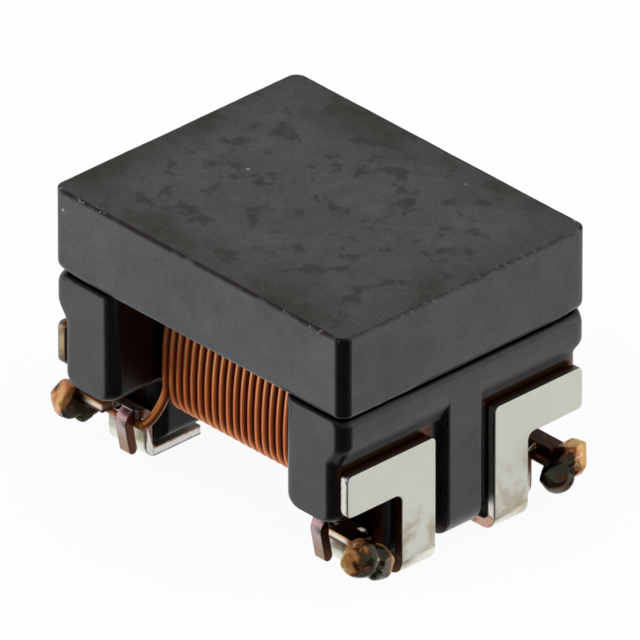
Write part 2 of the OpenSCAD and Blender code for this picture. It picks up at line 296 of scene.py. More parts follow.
# patches: noise bent by a slower noise, cut softly between two levels
def makePatchGroup():
    inputs = {"Scale": 3.0, "Bend": 0.3, "Low": 0.45, "High": 0.6, "Detail": 4.0}
    tree, ins, outs = newGroup("irregularPatches", inputs, "Mask")

    def vectorMath(operation, a, key, b):
        return put(tree, "ShaderNodeVectorMath", {0: a, key: b}, operation=operation).outputs[0]

    slow = noise(tree, ins["Vector"], ins["Scale"], 2.0)["Color"]
    offset = vectorMath("SUBTRACT", slow, 1, (0.5, 0.5, 0.5))
    moved = vectorMath("ADD", ins["Vector"], 1, vectorMath("SCALE", offset, "Scale", ins["Bend"]))
    fast = noise(tree, moved, ins["Scale"], ins["Detail"], 0.6)["Fac"]
    tree.links.new(spread(tree, fast, ins["Low"], ins["High"]), outs["Mask"])
    return tree


# specks: a share of the cells of a cell pattern hold a small round dot
def makeSpeckGroup():
    tree, ins, outs = newGroup("brightSpecks", {"Scale": 4.0, "Share": 0.05, "Size": 0.1}, "Mask")
    cells = put(tree, "ShaderNodeTexVoronoi", {"Vector": ins["Vector"], "Scale": ins["Scale"]}).outputs
    chance = put(tree, "ShaderNodeSeparateColor", {"Color": cells["Color"]}).outputs[0]
    chosen = calc(tree, "LESS_THAN", chance, ins["Share"])
    dot = spread(tree, cells["Distance"], ins["Size"], product(tree, ins["Size"], 0.5))
    tree.links.new(product(tree, chosen, dot), outs["Mask"])
    return tree


# grain: fine noise between 0 and 1, with a coarser noise mixed in
def makeGrainGroup():
    tree, ins, outs = newGroup("fineGrain", {"Scale": 60.0, "Coarse": 0.4}, "Value")
    fine = noise(tree, ins["Vector"], ins["Scale"], 3.0, 0.65)["Fac"]
    broad = noise(tree, ins["Vector"], product(tree, ins["Scale"], 0.12), 3.0)["Fac"]
    mix = put(tree, "ShaderNodeMix", {0: ins["Coarse"], 2: fine, 3: broad})
    tree.links.new(mix.outputs[0], outs["Value"])
    return tree


# edge mark: a mark of the piece's own, broken up by noise; on the drum's edges it is painted shade
def makeEdgeGroup():
    tree, ins, outs = newGroup("edgeWearAndShade", {"Edge": 0.0, "Scale": 12.0, "Low": 0.4, "High": 0.6}, "Mask")
    broken = spread(tree, noise(tree, ins["Vector"], ins["Scale"], 4.0)["Fac"], ins["Low"], ins["High"])
    tree.links.new(calc(tree, "MULTIPLY", broken, ins["Edge"], clamp=True), outs["Mask"])
    return tree


# levels that count as the lowest and the highest of a noise
noiseRange = {"narrow": (0.3, 0.7), "middle": (0.25, 0.75), "wide": (0.2, 0.8)}
patchGroup = makePatchGroup()
speckGroup = makeSpeckGroup()
grainGroup = makeGrainGroup()
edgeGroup = makeEdgeGroup()


# material with one shader, and object coordinates in millimetres
def newMaterial(name, constants):
    material = bpy.data.materials.new(name)
    material.use_nodes = True
    tree = material.node_tree
    shader = tree.nodes["Principled BSDF"]
    for key, value in constants.items():
        shader.inputs[key].default_value = value
    coords = put(tree, "ShaderNodeTexCoord")
    scaled = put(tree, "ShaderNodeMapping", {"Vector": coords.outputs["Object"], "Scale": (1 / mm,) * 3})
    return material, tree, shader, scaled.outputs[0]


def connect(tree, shader, sockets):
    for label, value in sockets.items():
        tree.links.new(value, shader.inputs[label])


def bumpFrom(tree, height, strength, distance):
    inputs = {"Height": height, "Strength": strength, "Distance": distance * mm}
    return put(tree, "ShaderNodeBump", inputs).outputs[0]


def attribute(tree, name):
    return put(tree, "ShaderNodeAttribute", attribute_name=name).outputs["Fac"]


# sintered ferrite: dark and metallic, with grain, blotches, chipped edges and dust; darker edges, worn on the
# plate and painted shade on the drum; painted shade on the upright corners and in a line at the joint; the
# plate has darker rims on top, the drum painted shade between the flanges and stains
def makeFerrite(name, look):
    material, tree, shader, where = newMaterial(name, {"Metallic": 1.0})
    at = quantities(tree, where)
    zones = makeZones(tree, at, look)
    # the corner mark is painted shade on the rounded upright corners
    edgeMark, corner = attribute(tree, "edge"), attribute(tree, "corner")
    grain = place(tree, grainGroup, where, *look["grain"])
    blotch = place(tree, patchGroup, where, *look["blotch"])
    cloud = place(tree, patchGroup, where, *look["cloud"])
    # edge: wear on the plate's top edge, painted shade on the drum's rounded edges
    edge = place(tree, edgeGroup, where, edgeMark, *look["edge"])
    chip = place(tree, edgeGroup, where, edgeMark, *look["chip"])
    speck = place(tree, speckGroup, where, *look["speck"])
    color = blendColor(tree, zones["top"], look["sideColor"], look["topColor"])
    if "rimColor" in look:
        rim = calc(tree, "MAXIMUM", zones["rimX"], zones["rimY"])
        rim = product(tree, rim, zones["top"], spread(tree, cloud, 0, 1, *look["rimDepth"]))
        color = blendColor(tree, rim, color, look["rimColor"])
    blotch = product(tree, blotch, ranged(tree, zones["top"], look["sideBlotch"], 1.0))
    color = blendColor(tree, product(tree, blotch, look["blotchDepth"]), color, look["blotchColor"])
    tone = product(tree, spread(tree, grain, *noiseRange["narrow"], *look["grainTone"]),
                   spread(tree, cloud, 0, 1, *look["cloudTone"]))
    toneColor = put(tree, "ShaderNodeCombineColor", {0: tone, 1: tone, 2: tone}).outputs[0]
    color = blendColor(tree, 1.0, color, toneColor, "MULTIPLY")
    color = overlay(tree, color, (product(tree, edge, look["edgeDepth"]), look["edgeColor"]),
                    (product(tree, corner, look["cornerShadeDepth"]), look["paintedShadeColor"]))
    rough = spread(tree, grain, *noiseRange["middle"], *look["rough"])
    rough = calc(tree, "ADD", rough, product(tree, blotch, look["blotchRough"]))
    inside = zones["inside"]
    if "ledge" in zones:
        # painted shade between the flanges, and low down just past their inner faces
        inside = calc(tree, "MAXIMUM", inside, zones["underShade"])
        ledge = product(tree, zones["ledge"], calc(tree, "SUBTRACT", 1.0, corner))
        color = overlay(tree, color, (product(tree, inside, look["innerShadeDepth"]), look["innerShadeColor"]),
                        (product(tree, zones["glue"], look["glueDepth"]), look["glueColor"]),
                        (ledge, look["ledgeColor"]), (zones["burnt"], look["burntColor"]))
        rough = calc(tree, "ADD", rough, product(tree, ledge, look["ledgeRough"]))
        connect(tree, shader, {"Metallic": spread(tree, ledge, 0, 1, 1.0, look["ledgeMetal"])})
    # painted shade in a band along the joint between plate and flanges
    fromJoint = calc(tree, "ABSOLUTE", calc(tree, "SUBTRACT", at["z"], look["jointZ"]))
    fromJoint = calc(tree, "ADD", fromJoint, spread(tree, cloud, 0, 1, *look["jointWander"]))
    joint = product(tree, spread(tree, fromJoint, *look["jointEdge"]), zones["flange"])
    outside = calc(tree, "SUBTRACT", 1.0, inside)
    dusty = product(tree, speck, calc(tree, "MAXIMUM", outside, zones["top"]))
    color = overlay(tree, color, (joint, look["paintedShadeColor"]),
                    (product(tree, chip, outside), look["chipColor"]),
                    (dusty, look["speckColor"]))
    bump = bumpFrom(tree, grain, *look["bump"])
    connect(tree, shader, {"Base Color": color, "Roughness": rough, "Normal": bump})
    return material


# settings of the groups: grain scale and coarse share; patches scale, bend, low, high and detail; broken
# edges scale, low and high; specks scale, share and size
ferriteLook = {"cloud": (0.8, 0.8, 0.4, 0.62, 3.0), "cloudTone": (1.05, 0.95), "blotchRough": 0.08,
               "cornerShadeDepth": 0.85, "paintedShadeColor": (0.012, 0.011, 0.011), "jointWander": (-0.012, 0.012),
               "jointEdge": (0.034, 0.014)}
ferriteZones = {"top": [("up", 0.6, 0.95)], "inside": [("x", 1.175, 1.16)], "flange": [("x", 1.1, 1.16)]}
plateLook = {**ferriteLook, "sideColor": (0.101, 0.105, 0.11), "topColor": (0.104, 0.108, 0.1),
             "rimColor": (0.048, 0.048, 0.04), "rimDepth": (0.45, 1.0),
             "blotch": (3.8, 0.2, 0.53, 0.63, 7.0), "blotchColor": (0.045, 0.045, 0.038), "blotchDepth": 0.8,
             "sideBlotch": 0.12, "grain": (40.0, 0.35), "grainTone": (0.8, 1.2),
             "edge": (5.0, 0.3, 0.55), "edgeColor": (0.04, 0.03, 0.034), "edgeDepth": 0.95,
             "chip": (16.0, 0.57, 0.62), "chipColor": (0.28, 0.26, 0.25),
             "speck": (2.4, 0.75, 0.06), "speckColor": (0.42, 0.42, 0.4),
             "rough": (0.23, 0.33), "bump": (0.25, 0.004), "jointZ": 1.976,
             "zones": {**ferriteZones, "rimX": [("x", 1.3, 1.95)], "rimY": [("y", 0.8, 1.5)]}}
drumLook = {**ferriteLook, "sideColor": (0.097, 0.098, 0.099), "topColor": (0.09, 0.09, 0.09),
            "blotch": (2.4, 0.2, 0.54, 0.68, 7.0), "blotchColor": (0.06, 0.058, 0.06), "blotchDepth": 0.7,
            "sideBlotch": 0.25, "grain": (34.0, 0.35), "grainTone": (0.88, 1.12),
            # the drum's edge mark is unbroken painted shade over its rounded edges
            "edge": (5.0, -0.2, 0.05), "edgeColor": (0.014, 0.013, 0.013), "edgeDepth": 0.9,
            "chip": (16.0, 0.72, 0.77), "chipColor": (0.2, 0.2, 0.19),
            "speck": (2.6, 0.02, 0.05), "speckColor": (0.22, 0.22, 0.21),
            "rough": (0.25, 0.35), "bump": (0.3, 0.004), "jointZ": 1.96,
            "innerShadeDepth": 0.8, "innerShadeColor": (0.012, 0.01, 0.009),
            "glueDepth": 0.9, "glueColor": (0.12, 0.05, 0.02), "burntColor": (0.055, 0.02, 0.009),
            "ledgeColor": (0.065, 0.062, 0.058), "ledgeRough": 0.3, "ledgeMetal": 0.2,
            "zones": {**ferriteZones,
                      "underShade": [("x", 1.3, 1.22), ("z", 1.0, 0.9), ("faceY", 0.7, 0.3)],
                      "glue": [("x", 1.83, 1.85), ("y", 0.3, 0.36), ("z", 1.25, 1.33), ("z", 1.43, 1.39)],
                      "ledge": [("up", -0.03, -0.2), ("z", 1.36, 1.42), ("z", 1.72, 1.62)],
                      "burnt": [("x", 1.25, 1.5), ("z", 0.98, 0.86), ("y", 0.88, 0.95), ("y", 1.02, 0.98)]}}
plateFerrite = makeFerrite("groundFerrite", plateLook)
drumFerrite = makeFerrite("pressedFerrite", drumLook)


# copper under clear enamel, with painted shade between turns, a painted highlight along each crest and a
# painted reflection that makes the low bends lighter; the UV map follows the wire
def makeWireMaterial(name, look):
    material, tree, shader, where = newMaterial(name, look["constants"])
    zones = makeZones(tree, quantities(tree, where), look)
    uv = put(tree, "ShaderNodeUVMap", uv_map="alongWire").outputs[0]
    tone = place(tree, grainGroup, uv, *look["tone"])
    dust = place(tree, patchGroup, where, *look["dust"])
    burnt = place(tree, edgeGroup, where, attribute(tree, "burnt"), *look["burnt"])
    # crestHighlight: painted highlight along each turn's crest, stronger higher up
    crestHighlight = product(tree, zones["crestHighlight"], ranged(tree, zones["high"], *look["crestHighlightDepth"]))
    # gap: painted shade on the sides of each turn, where it meets its neighbours
    gap = product(tree, zones["gap"], spread(tree, zones["bend"], 0, 1, *look["gapShadeDepth"]))
    # bendLight: painted reflection, lighter orange low down on the winding
    color = blendColor(tree, spread(tree, tone, *noiseRange["narrow"]), look["deep"], look["light"])
    color = overlay(tree, color, (product(tree, dust, look["dustDepth"]), look["dull"]),
                    (product(tree, zones["bend"], look["bendLightDepth"]), look["bendLightColor"]),
                    (crestHighlight, look["crestHighlightColor"]), (gap, look["gapShadeColor"]),
                    (product(tree, burnt, look["burntDepth"]), look["burntColor"]))
    rough = spread(tree, tone, *noiseRange["middle"], *look["rough"])
    bump = bumpFrom(tree, tone, *look["bump"])
    connect(tree, shader, {"Base Color": color, "Roughness": rough, "Normal": bump})
    return material


wireLook = {"constants": {"Metallic": 0.8, "Coat Roughness": 0.12, "Coat IOR": 1.55, "Coat Weight": 0.04},
            "deep": (0.53, 0.112, 0.022), "light": (0.75, 0.188, 0.044), "tone": (2.5, 0.6),
            "rough": (0.28, 0.4), "bump": (0.2, 0.003),
            "dull": (0.36, 0.074, 0.015), "dust": (3.0, 0.4, 0.5, 0.75, 4.0), "dustDepth": 0.35,
            "burnt": (7.0, 0.25, 0.5), "burntDepth": 0.9, "burntColor": (0.12, 0.05, 0.02),
            "gapShadeDepth": (0.95, 0.75), "gapShadeColor": (0.11, 0.014, 0.005),
            "bendLightDepth": 0.55, "bendLightColor": (0.67, 0.242, 0.042),
            "crestHighlightDepth": (0.056, 0.7), "crestHighlightColor": (1.0, 0.53, 0.24),
            "zones": {"bend": [("z", 0.85, 0.62)], "high": [("z", 0.95, 1.55)],
                      "gap": [("faceX", 0.32, 0.78)],
                      "crestHighlight": [("faceX", 0.42, 0.05), ("faceY", 0.5, 0.8)]}}
wireEnamel = makeWireMaterial("enamelledCopper", wireLook)


# tin plating with smudges low down; cut edges have a grey outer and a brown inner line, stains at the -X
# end, painted shade on the leg's outer side and on edges that face up, copper below and at the toe; claw and
# hot shelf differ, the claw with a painted highlight on its upward faces
def makeTinMaterial(name, look):
    material, tree, shader, where = newMaterial(name, {"Metallic": 1.0})
    at = quantities(tree, where)
    grain = place(tree, grainGroup, where, *look["grain"])
    depthWander = spread(tree, grain, *noiseRange["narrow"], *look["depthWander"])
    at["depth"] = calc(tree, "ADD", attribute(tree, "depth"), depthWander)
    zones = makeZones(tree, at, look)
    smudge = place(tree, patchGroup, where, *look["smudge"])
    oxide = place(tree, patchGroup, where, *look["oxide"])
    crease = place(tree, patchGroup, where, *look["crease"])
    smudge = product(tree, smudge, ranged(tree, zones["low"], *look["smudgeRange"]))
    bare, claw, scorched = (attribute(tree, label) for label in ("bare", "claw", "scorched"))
    stain = blendColor(tree, oxide, look["stainLight"], look["stainDeep"])
    scorch = blendColor(tree, oxide, look["heatLight"], look["heatDeep"])
    below = blendColor(tree, oxide, look["cutLight"], look["cutDeep"])
    # above: painted shade on cut edges that face up
    above = blendColor(tree, zones["brown"], look["topShadeLine"], look["topShadeBrown"])
    # legEdgeShade: painted shade on the leg's outer cut edge, in the scorch colour
    edge = overlay(tree, look["edgeTin"], (zones["farEnd"], stain), (zones["outer"], look["edgeLine"]),
                   (zones["inner"], look["edgeInner"]), (zones["legEdgeShade"], scorch), (zones["toe"], below),
                   (zones["below"], below), (zones["above"], above))
    # clawTopHighlight: painted highlight on the claw's upward faces
    clawColor = overlay(tree, look["clawHigh"], (zones["clawFoot"], look["clawLow"]),
                        (product(tree, oxide, look["clawOxide"]), look["clawLow"]),
                        (zones["clawTopHighlight"], look["clawTopHighlight"]), (bare, look["clawCut"]))
    lipDark = calc(tree, "MAXIMUM", zones["lipFoot"], zones["lipEnd"])
    lip = overlay(tree, look["edgeTin"], (zones["lipTop"], look["lipLine"]), (lipDark, look["heatLight"]))
    color = blendColor(tree, spread(tree, grain, *noiseRange["middle"]), look["tinDeep"], look["tinLight"])
    color = overlay(tree, color, (product(tree, smudge, look["smudgeDepth"]), look["smudgeColor"]),
                    (product(tree, zones["crease"], crease), look["creaseColor"]), (bare, edge),
                    (claw, clawColor), (scorched, blendColor(tree, bare, scorch, lip)))
    rough = spread(tree, grain, *noiseRange["wide"], *look["rough"])
    rough = calc(tree, "ADD", rough, product(tree, smudge, look["smudgeRough"]))
    bump = bumpFrom(tree, grain, *look["bump"])
    connect(tree, shader, {"Base Color": color, "Roughness": rough, "Normal": bump})
    return material


tinLook = {"tinDeep": (0.77, 0.775, 0.685), "tinLight": (0.86, 0.87, 0.775), "grain": (26.0, 0.45),
           "depthWander": (-0.1, 0.1), "bump": (0.18, 0.003),
           "smudge": (3.0, 0.3, 0.42, 0.68, 4.0), "smudgeColor": (0.55, 0.47, 0.34), "smudgeDepth": 0.85,
           "smudgeRange": (0.1, 1.0), "smudgeRough": 0.06, "rough": (0.26, 0.4),
           "oxide": (4.0, 0.3, 0.42, 0.6, 4.0),
           "crease": (9.0, 0.2, 0.4, 0.55, 2.0), "creaseColor": (0.6, 0.54, 0.42),
           "edgeTin": (0.9, 0.88, 0.83), "edgeLine": (0.3, 0.29, 0.28), "edgeInner": (0.3, 0.17, 0.12),
           "cutLight": (0.66, 0.4, 0.32), "cutDeep": (0.3, 0.15, 0.08),
           "topShadeLine": (0.22, 0.2, 0.2), "topShadeBrown": (0.12, 0.05, 0.02),
           "clawTopHighlight": (0.85, 0.5, 0.53), "clawHigh": (0.5, 0.4, 0.42), "clawLow": (0.36, 0.24, 0.17),
           "clawCut": (0.12, 0.04, 0.025), "clawOxide": 0.4, "lipLine": (0.75, 0.36, 0.12),
           "heatLight": (0.13, 0.045, 0.016), "heatDeep": (0.04, 0.013, 0.006),
           "stainLight": (0.5, 0.38, 0.2), "stainDeep": (0.12, 0.085, 0.04),
           "zones": {"low": [("z", 1.0, 0.35)], "farEnd": [("endwise", -1.5, -1.8)],
                     "outer": [("depth", 0.32, 0.16)], "inner": [("depth", 0.72, 0.95)],
                     "brown": [("depth", 0.3, 0.6)], "above": [("up", 0.4, 0.8)],
                     "below": [("up", -0.3, -0.7)],
                     "legEdgeShade": [("y", 0.77, 0.79), ("y", 0.84, 0.82), ("z", 0.93, 0.86), ("faceY", 0.4, 0.7)],
                     "toe": [("y", 0.42, 0.4), ("z", 0.17, 0.11), ("faceY", 0.4, 0.7)],
                     "crease": [("z", 0.17, 0.19), ("z", 0.225, 0.205)],
                     "clawFoot": [("z", 0.42, 0.2)], "clawTopHighlight": [("up", 0.25, 0.7)],
                     "lipTop": [("z", 0.535, 0.56)], "lipFoot": [("z", 0.52, 0.49)],
                     "lipEnd": [("x", 1.74, 1.84)]}}
tinSheet = makeTinMaterial("tinnedSheet", tinLook)


# melted metal: glassy dark ball, and a lump that goes from brown over orange and gold to pale at its tip,
# with painted highlights as pale patches
def makeWeldMaterial(name, look):
    material, tree, shader, where = newMaterial(name, {})
    grain = place(tree, grainGroup, where, *look["grain"])
    dark = place(tree, patchGroup, where, *look["dark"])
    # paintedGlint: painted highlights, pale patches
    paintedGlint = place(tree, patchGroup, where, *look["paintedGlint"])
    wander = noise(tree, where, *look["wander"])["Fac"]
    wander = spread(tree, wander, *noiseRange["narrow"], *look["wanderDepth"])
    warm = calc(tree, "ADD", attribute(tree, "warm"), wander)
    steps = [(spread(tree, warm, low, high), tint) for low, high, tint in look["steps"]]
    darkShare = product(tree, dark, spread(tree, warm, *look["darkEdge"], *look["darkDepth"]))
    color = overlay(tree, look["glass"], *steps, (darkShare, look["olive"]), (paintedGlint, look["pale"]))
    rough = calc(tree, "ADD", spread(tree, grain, *noiseRange["wide"], *look["grainRough"]),
                 spread(tree, warm, *look["glassEdge"], *look["rough"]))
    height = calc(tree, "ADD", grain, product(tree, dark, look["darkHeight"]))
    connect(tree, shader, {"Base Color": color, "Roughness": rough,
                           "Normal": bumpFrom(tree, height, *look["bump"]),
                           "Metallic": spread(tree, warm, *look["glassEdge"], *look["metal"])})
    return material


weldLook = {"glass": (0.05, 0.05, 0.035), "olive": (0.075, 0.055, 0.025), "pale": (0.9, 0.74, 0.5),
            "steps": [(0.12, 0.3, (0.07, 0.027, 0.013)), (0.3, 0.5, (0.5, 0.19, 0.06)),
                      (0.55, 0.75, (0.66, 0.38, 0.12)), (0.85, 1.05, (0.9, 0.74, 0.5))],
            "grain": (20.0, 0.5), "dark": (4.2, 0.4, 0.48, 0.68, 4.0), "darkDepth": (0.8, 0.35),
            "darkHeight": 0.4, "paintedGlint": (9.0, 0.3, 0.64, 0.7, 3.0), "wander": (6.0, 3.0),
            "wanderDepth": (-0.26, 0.26), "darkEdge": (0.2, 0.7), "glassEdge": (0.1, 0.5),
            "rough": (0.2, 0.28), "grainRough": (-0.08, 0.1), "metal": (1.0, 0.65), "bump": (0.5, 0.012)}
weldMetal = makeWeldMaterial("weldMetal", weldLook)


def makeResin(name, look):
    material, tree, shader, where = newMaterial(name, {"IOR": 1.5})
    cloud = place(tree, patchGroup, where, *look["cloud"])
    connect(tree, shader, {"Base Color": blendColor(tree, cloud, look["deep"], look["light"]),
                           "Roughness": spread(tree, cloud, 0, 1, *look["rough"])})
    return material


resinLook = {"deep": (0.02, 0.014, 0.008), "light": (0.05, 0.034, 0.02), "cloud": (3.0, 0.3, 0.35, 0.7, 3.0),
             "rough": (0.25, 0.4)}
resinFilm = makeResin("curedResin", resinLook)
for name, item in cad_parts.items():
    if "bond" in name:
        item.data.materials.clear()
        item.data.materials.append(resinFilm)
print("materials ready")

# ferrite plate; the steps are small distances of the rings next to the broken edges
plate = {"half": (1.975, 1.56), "low": 1.97, "high": 2.84, "corner": 0.12, "topBreak": 0.02,
         "lowBreak": 0.035, "arcSteps": 10, "sideSteps": 90, "topUneven": 0.45, "topWaves": 14,
         "lowUneven": 0.2, "lowWaves": 9, "seed": 7, "cornerWear": 0.055, "breakSteps": 4, "endMark": 0.3,
         "lowSteps": (0.008, 0.012), "sideMark": (0.03, 0.006), "topMark": (0.006, 0.025)}


# outline of a rounded rectangle with its outward directions: straight runs joined by quarter circles
def rectangleOutline(halfX, halfY, radius, arcSteps, sideSteps):
    points, outward = [], []
    middles = [(halfX - radius, -halfY + radius, -90), (halfX - radius, halfY - radius, 0),
               (-halfX + radius, halfY - radius, 90), (-halfX + radius, -halfY + radius, 180)]
    for i, (cx, cy, start) in enumerate(middles):
        angle = np.radians(start + np.linspace(0, 90, arcSteps + 1))
        direction = np.stack([np.cos(angle), np.sin(angle)], 1)
        arc = np.array([cx, cy]) + radius * direction
        nextMiddle = middles[(i + 1) % 4]
        target = np.array(nextMiddle[:2]) + radius * direction[-1]
        share = np.linspace(0, 1, sideSteps + 2)[1:-1, None]
        share = 0.5 - 0.5 * np.cos(share * math.pi)  # points crowd towards the arcs
        points += [arc, arc[-1] + (target - arc[-1]) * share]
        outward += [direction, np.repeat(direction[-1:], sideSteps, 0)]
    return np.concatenate(points), np.concatenate(outward)


# uneven line between -1 and 1: a sum of sines along the length, seeded
def unevenLine(length, count, seed, slowest=2.5, fastest=0.12):
    rng = np.random.default_rng(seed)
    waves = np.geomspace(slowest, fastest, count)
    phase = rng.uniform(0, 2 * math.pi, count)
    weight = rng.uniform(0.5, 1, count) * np.geomspace(1, 0.5, count)
    return (np.sin(2 * math.pi * length[:, None] / waves + phase) * weight).sum(1) / weight.sum()


# painted shade on the rounded upright edges: 1 over the middle of the quarter turn, falling to 0 at both ends
def cornerShade(degrees, end=2, fall=20):
    return np.clip((degrees - end) / fall, 0, 1) * np.clip((90 - end - degrees) / fall, 0, 1)


# corners are worn rounder than edges, two opposite ones more: full at a corner, smoothly 0 at the reach
def cornerWear(distance, more):
    share = np.clip(1 - distance / wear["reach"], 0, 1)
    return share * share * (3 - 2 * share) * np.where(more, 1, wear["light"])


# rings of the plate's outline from its underside to its top; marks: worn top edge, painted shade on the
# upright corners
def makePlate():
    outline, outward = rectangleOutline(*plate["half"], plate["corner"], plate["arcSteps"],
                                        plate["sideSteps"])
    count = len(outline)
    along = np.cumsum(np.linalg.norm(np.diff(outline, axis=0, append=outline[:1]), axis=1))
    seed = plate["seed"]
    top = plate["topBreak"] * (1 + plate["topUneven"] * unevenLine(along, plate["topWaves"], seed))
    low = plate["lowBreak"] * (1 + plate["lowUneven"] * unevenLine(along, plate["lowWaves"], seed + 1))
    inward = (np.array(plate["half"]) - np.abs(outline)).max(1)
    low = low + plate["cornerWear"] * cornerWear(inward, outline.prod(1) > 0)
    quarter = np.radians(np.linspace(0, 90, plate["breakSteps"] + 1))
    sideways = plate["endMark"] + (1 - plate["endMark"]) * np.abs(outward[:, 1])
    # upright: painted shade on the rounded upright corners
    upright = cornerShade(np.degrees(np.arctan2(np.abs(outward[:, 1]), np.abs(outward[:, 0]))))
    rings, edge, corner = [], [], []

    def ring(inset, height, wearAndShade, onSide=1):
        shift = outward * np.broadcast_to(inset, count)[:, None]
        rings.append(np.column_stack([outline - shift, np.broadcast_to(height, count)]))
        edge.append(wearAndShade * sideways)
        corner.append(onSide * upright)

    ring(low + plate["lowSteps"][0], plate["low"], 0)
    for a in quarter:
        ring(low * (1 - math.sin(a)), plate["low"] + low * (1 - math.cos(a)), 0)
    ring(0, plate["low"] + low + plate["lowSteps"][1], 0)
    ring(0, plate["high"] - top - plate["sideMark"][0], 0)
    ring(0, plate["high"] - top - plate["sideMark"][1], 1)
    for a in quarter:
        ring(top * (1 - math.cos(a)), plate["high"] - top * (1 - math.sin(a)), 1)
    ring(top + plate["topMark"][0], plate["high"], 1, 0)
    ring(top + plate["topMark"][1], plate["high"], 0, 0)
    return ringBody("plate", np.array(rings), {"edge": np.array(edge), "corner": np.array(corner)})


plateMesh = unite("plate", [makePlate()])
finishPiece("plate", plateMesh, "plate_core", plateFerrite)
print("plate made:", len(plateMesh.polygons), "faces")

# drum core; gap and near are small distances between neighbouring points
drum = {"recess": 1.86, "recessTop": 1.42, "ledge": 0.24, "roof": 0.8, "corner": 0.13, "topRound": 0.08,
        "sideRound": 0.03, "innerRound": 0.03, "lowRound": 0.1, "toe": 0.22, "block": 0.967, "rib": 0.21,
        "ribEdge": 0.018, "cornerWear": 0.07, "arcSteps": 6, "toeSteps": 9, "innerSteps": 4, "topSteps": 8,
        "ledgeSteps": 12, "gap": 0.01, "near": 0.008, "nearRib": 0.006, "faceStart": 0.04, "wallEnd": 0.03,
        "rearRun": 0.05, "across": ((0.0, 0.1), (0.4, 0.6), (1.2,)), "capHeight": 1.4,
        "riseAngles": (0, 7, 15, 30, 45, 60, 75, 83, 90), "fadePower": 1.5, "capScale": 0.96,
        "post": (0.875, 0.605, 1.795), "postRound": (0.2, 0.4), "postSteps": 8, "postInto": 0.1}


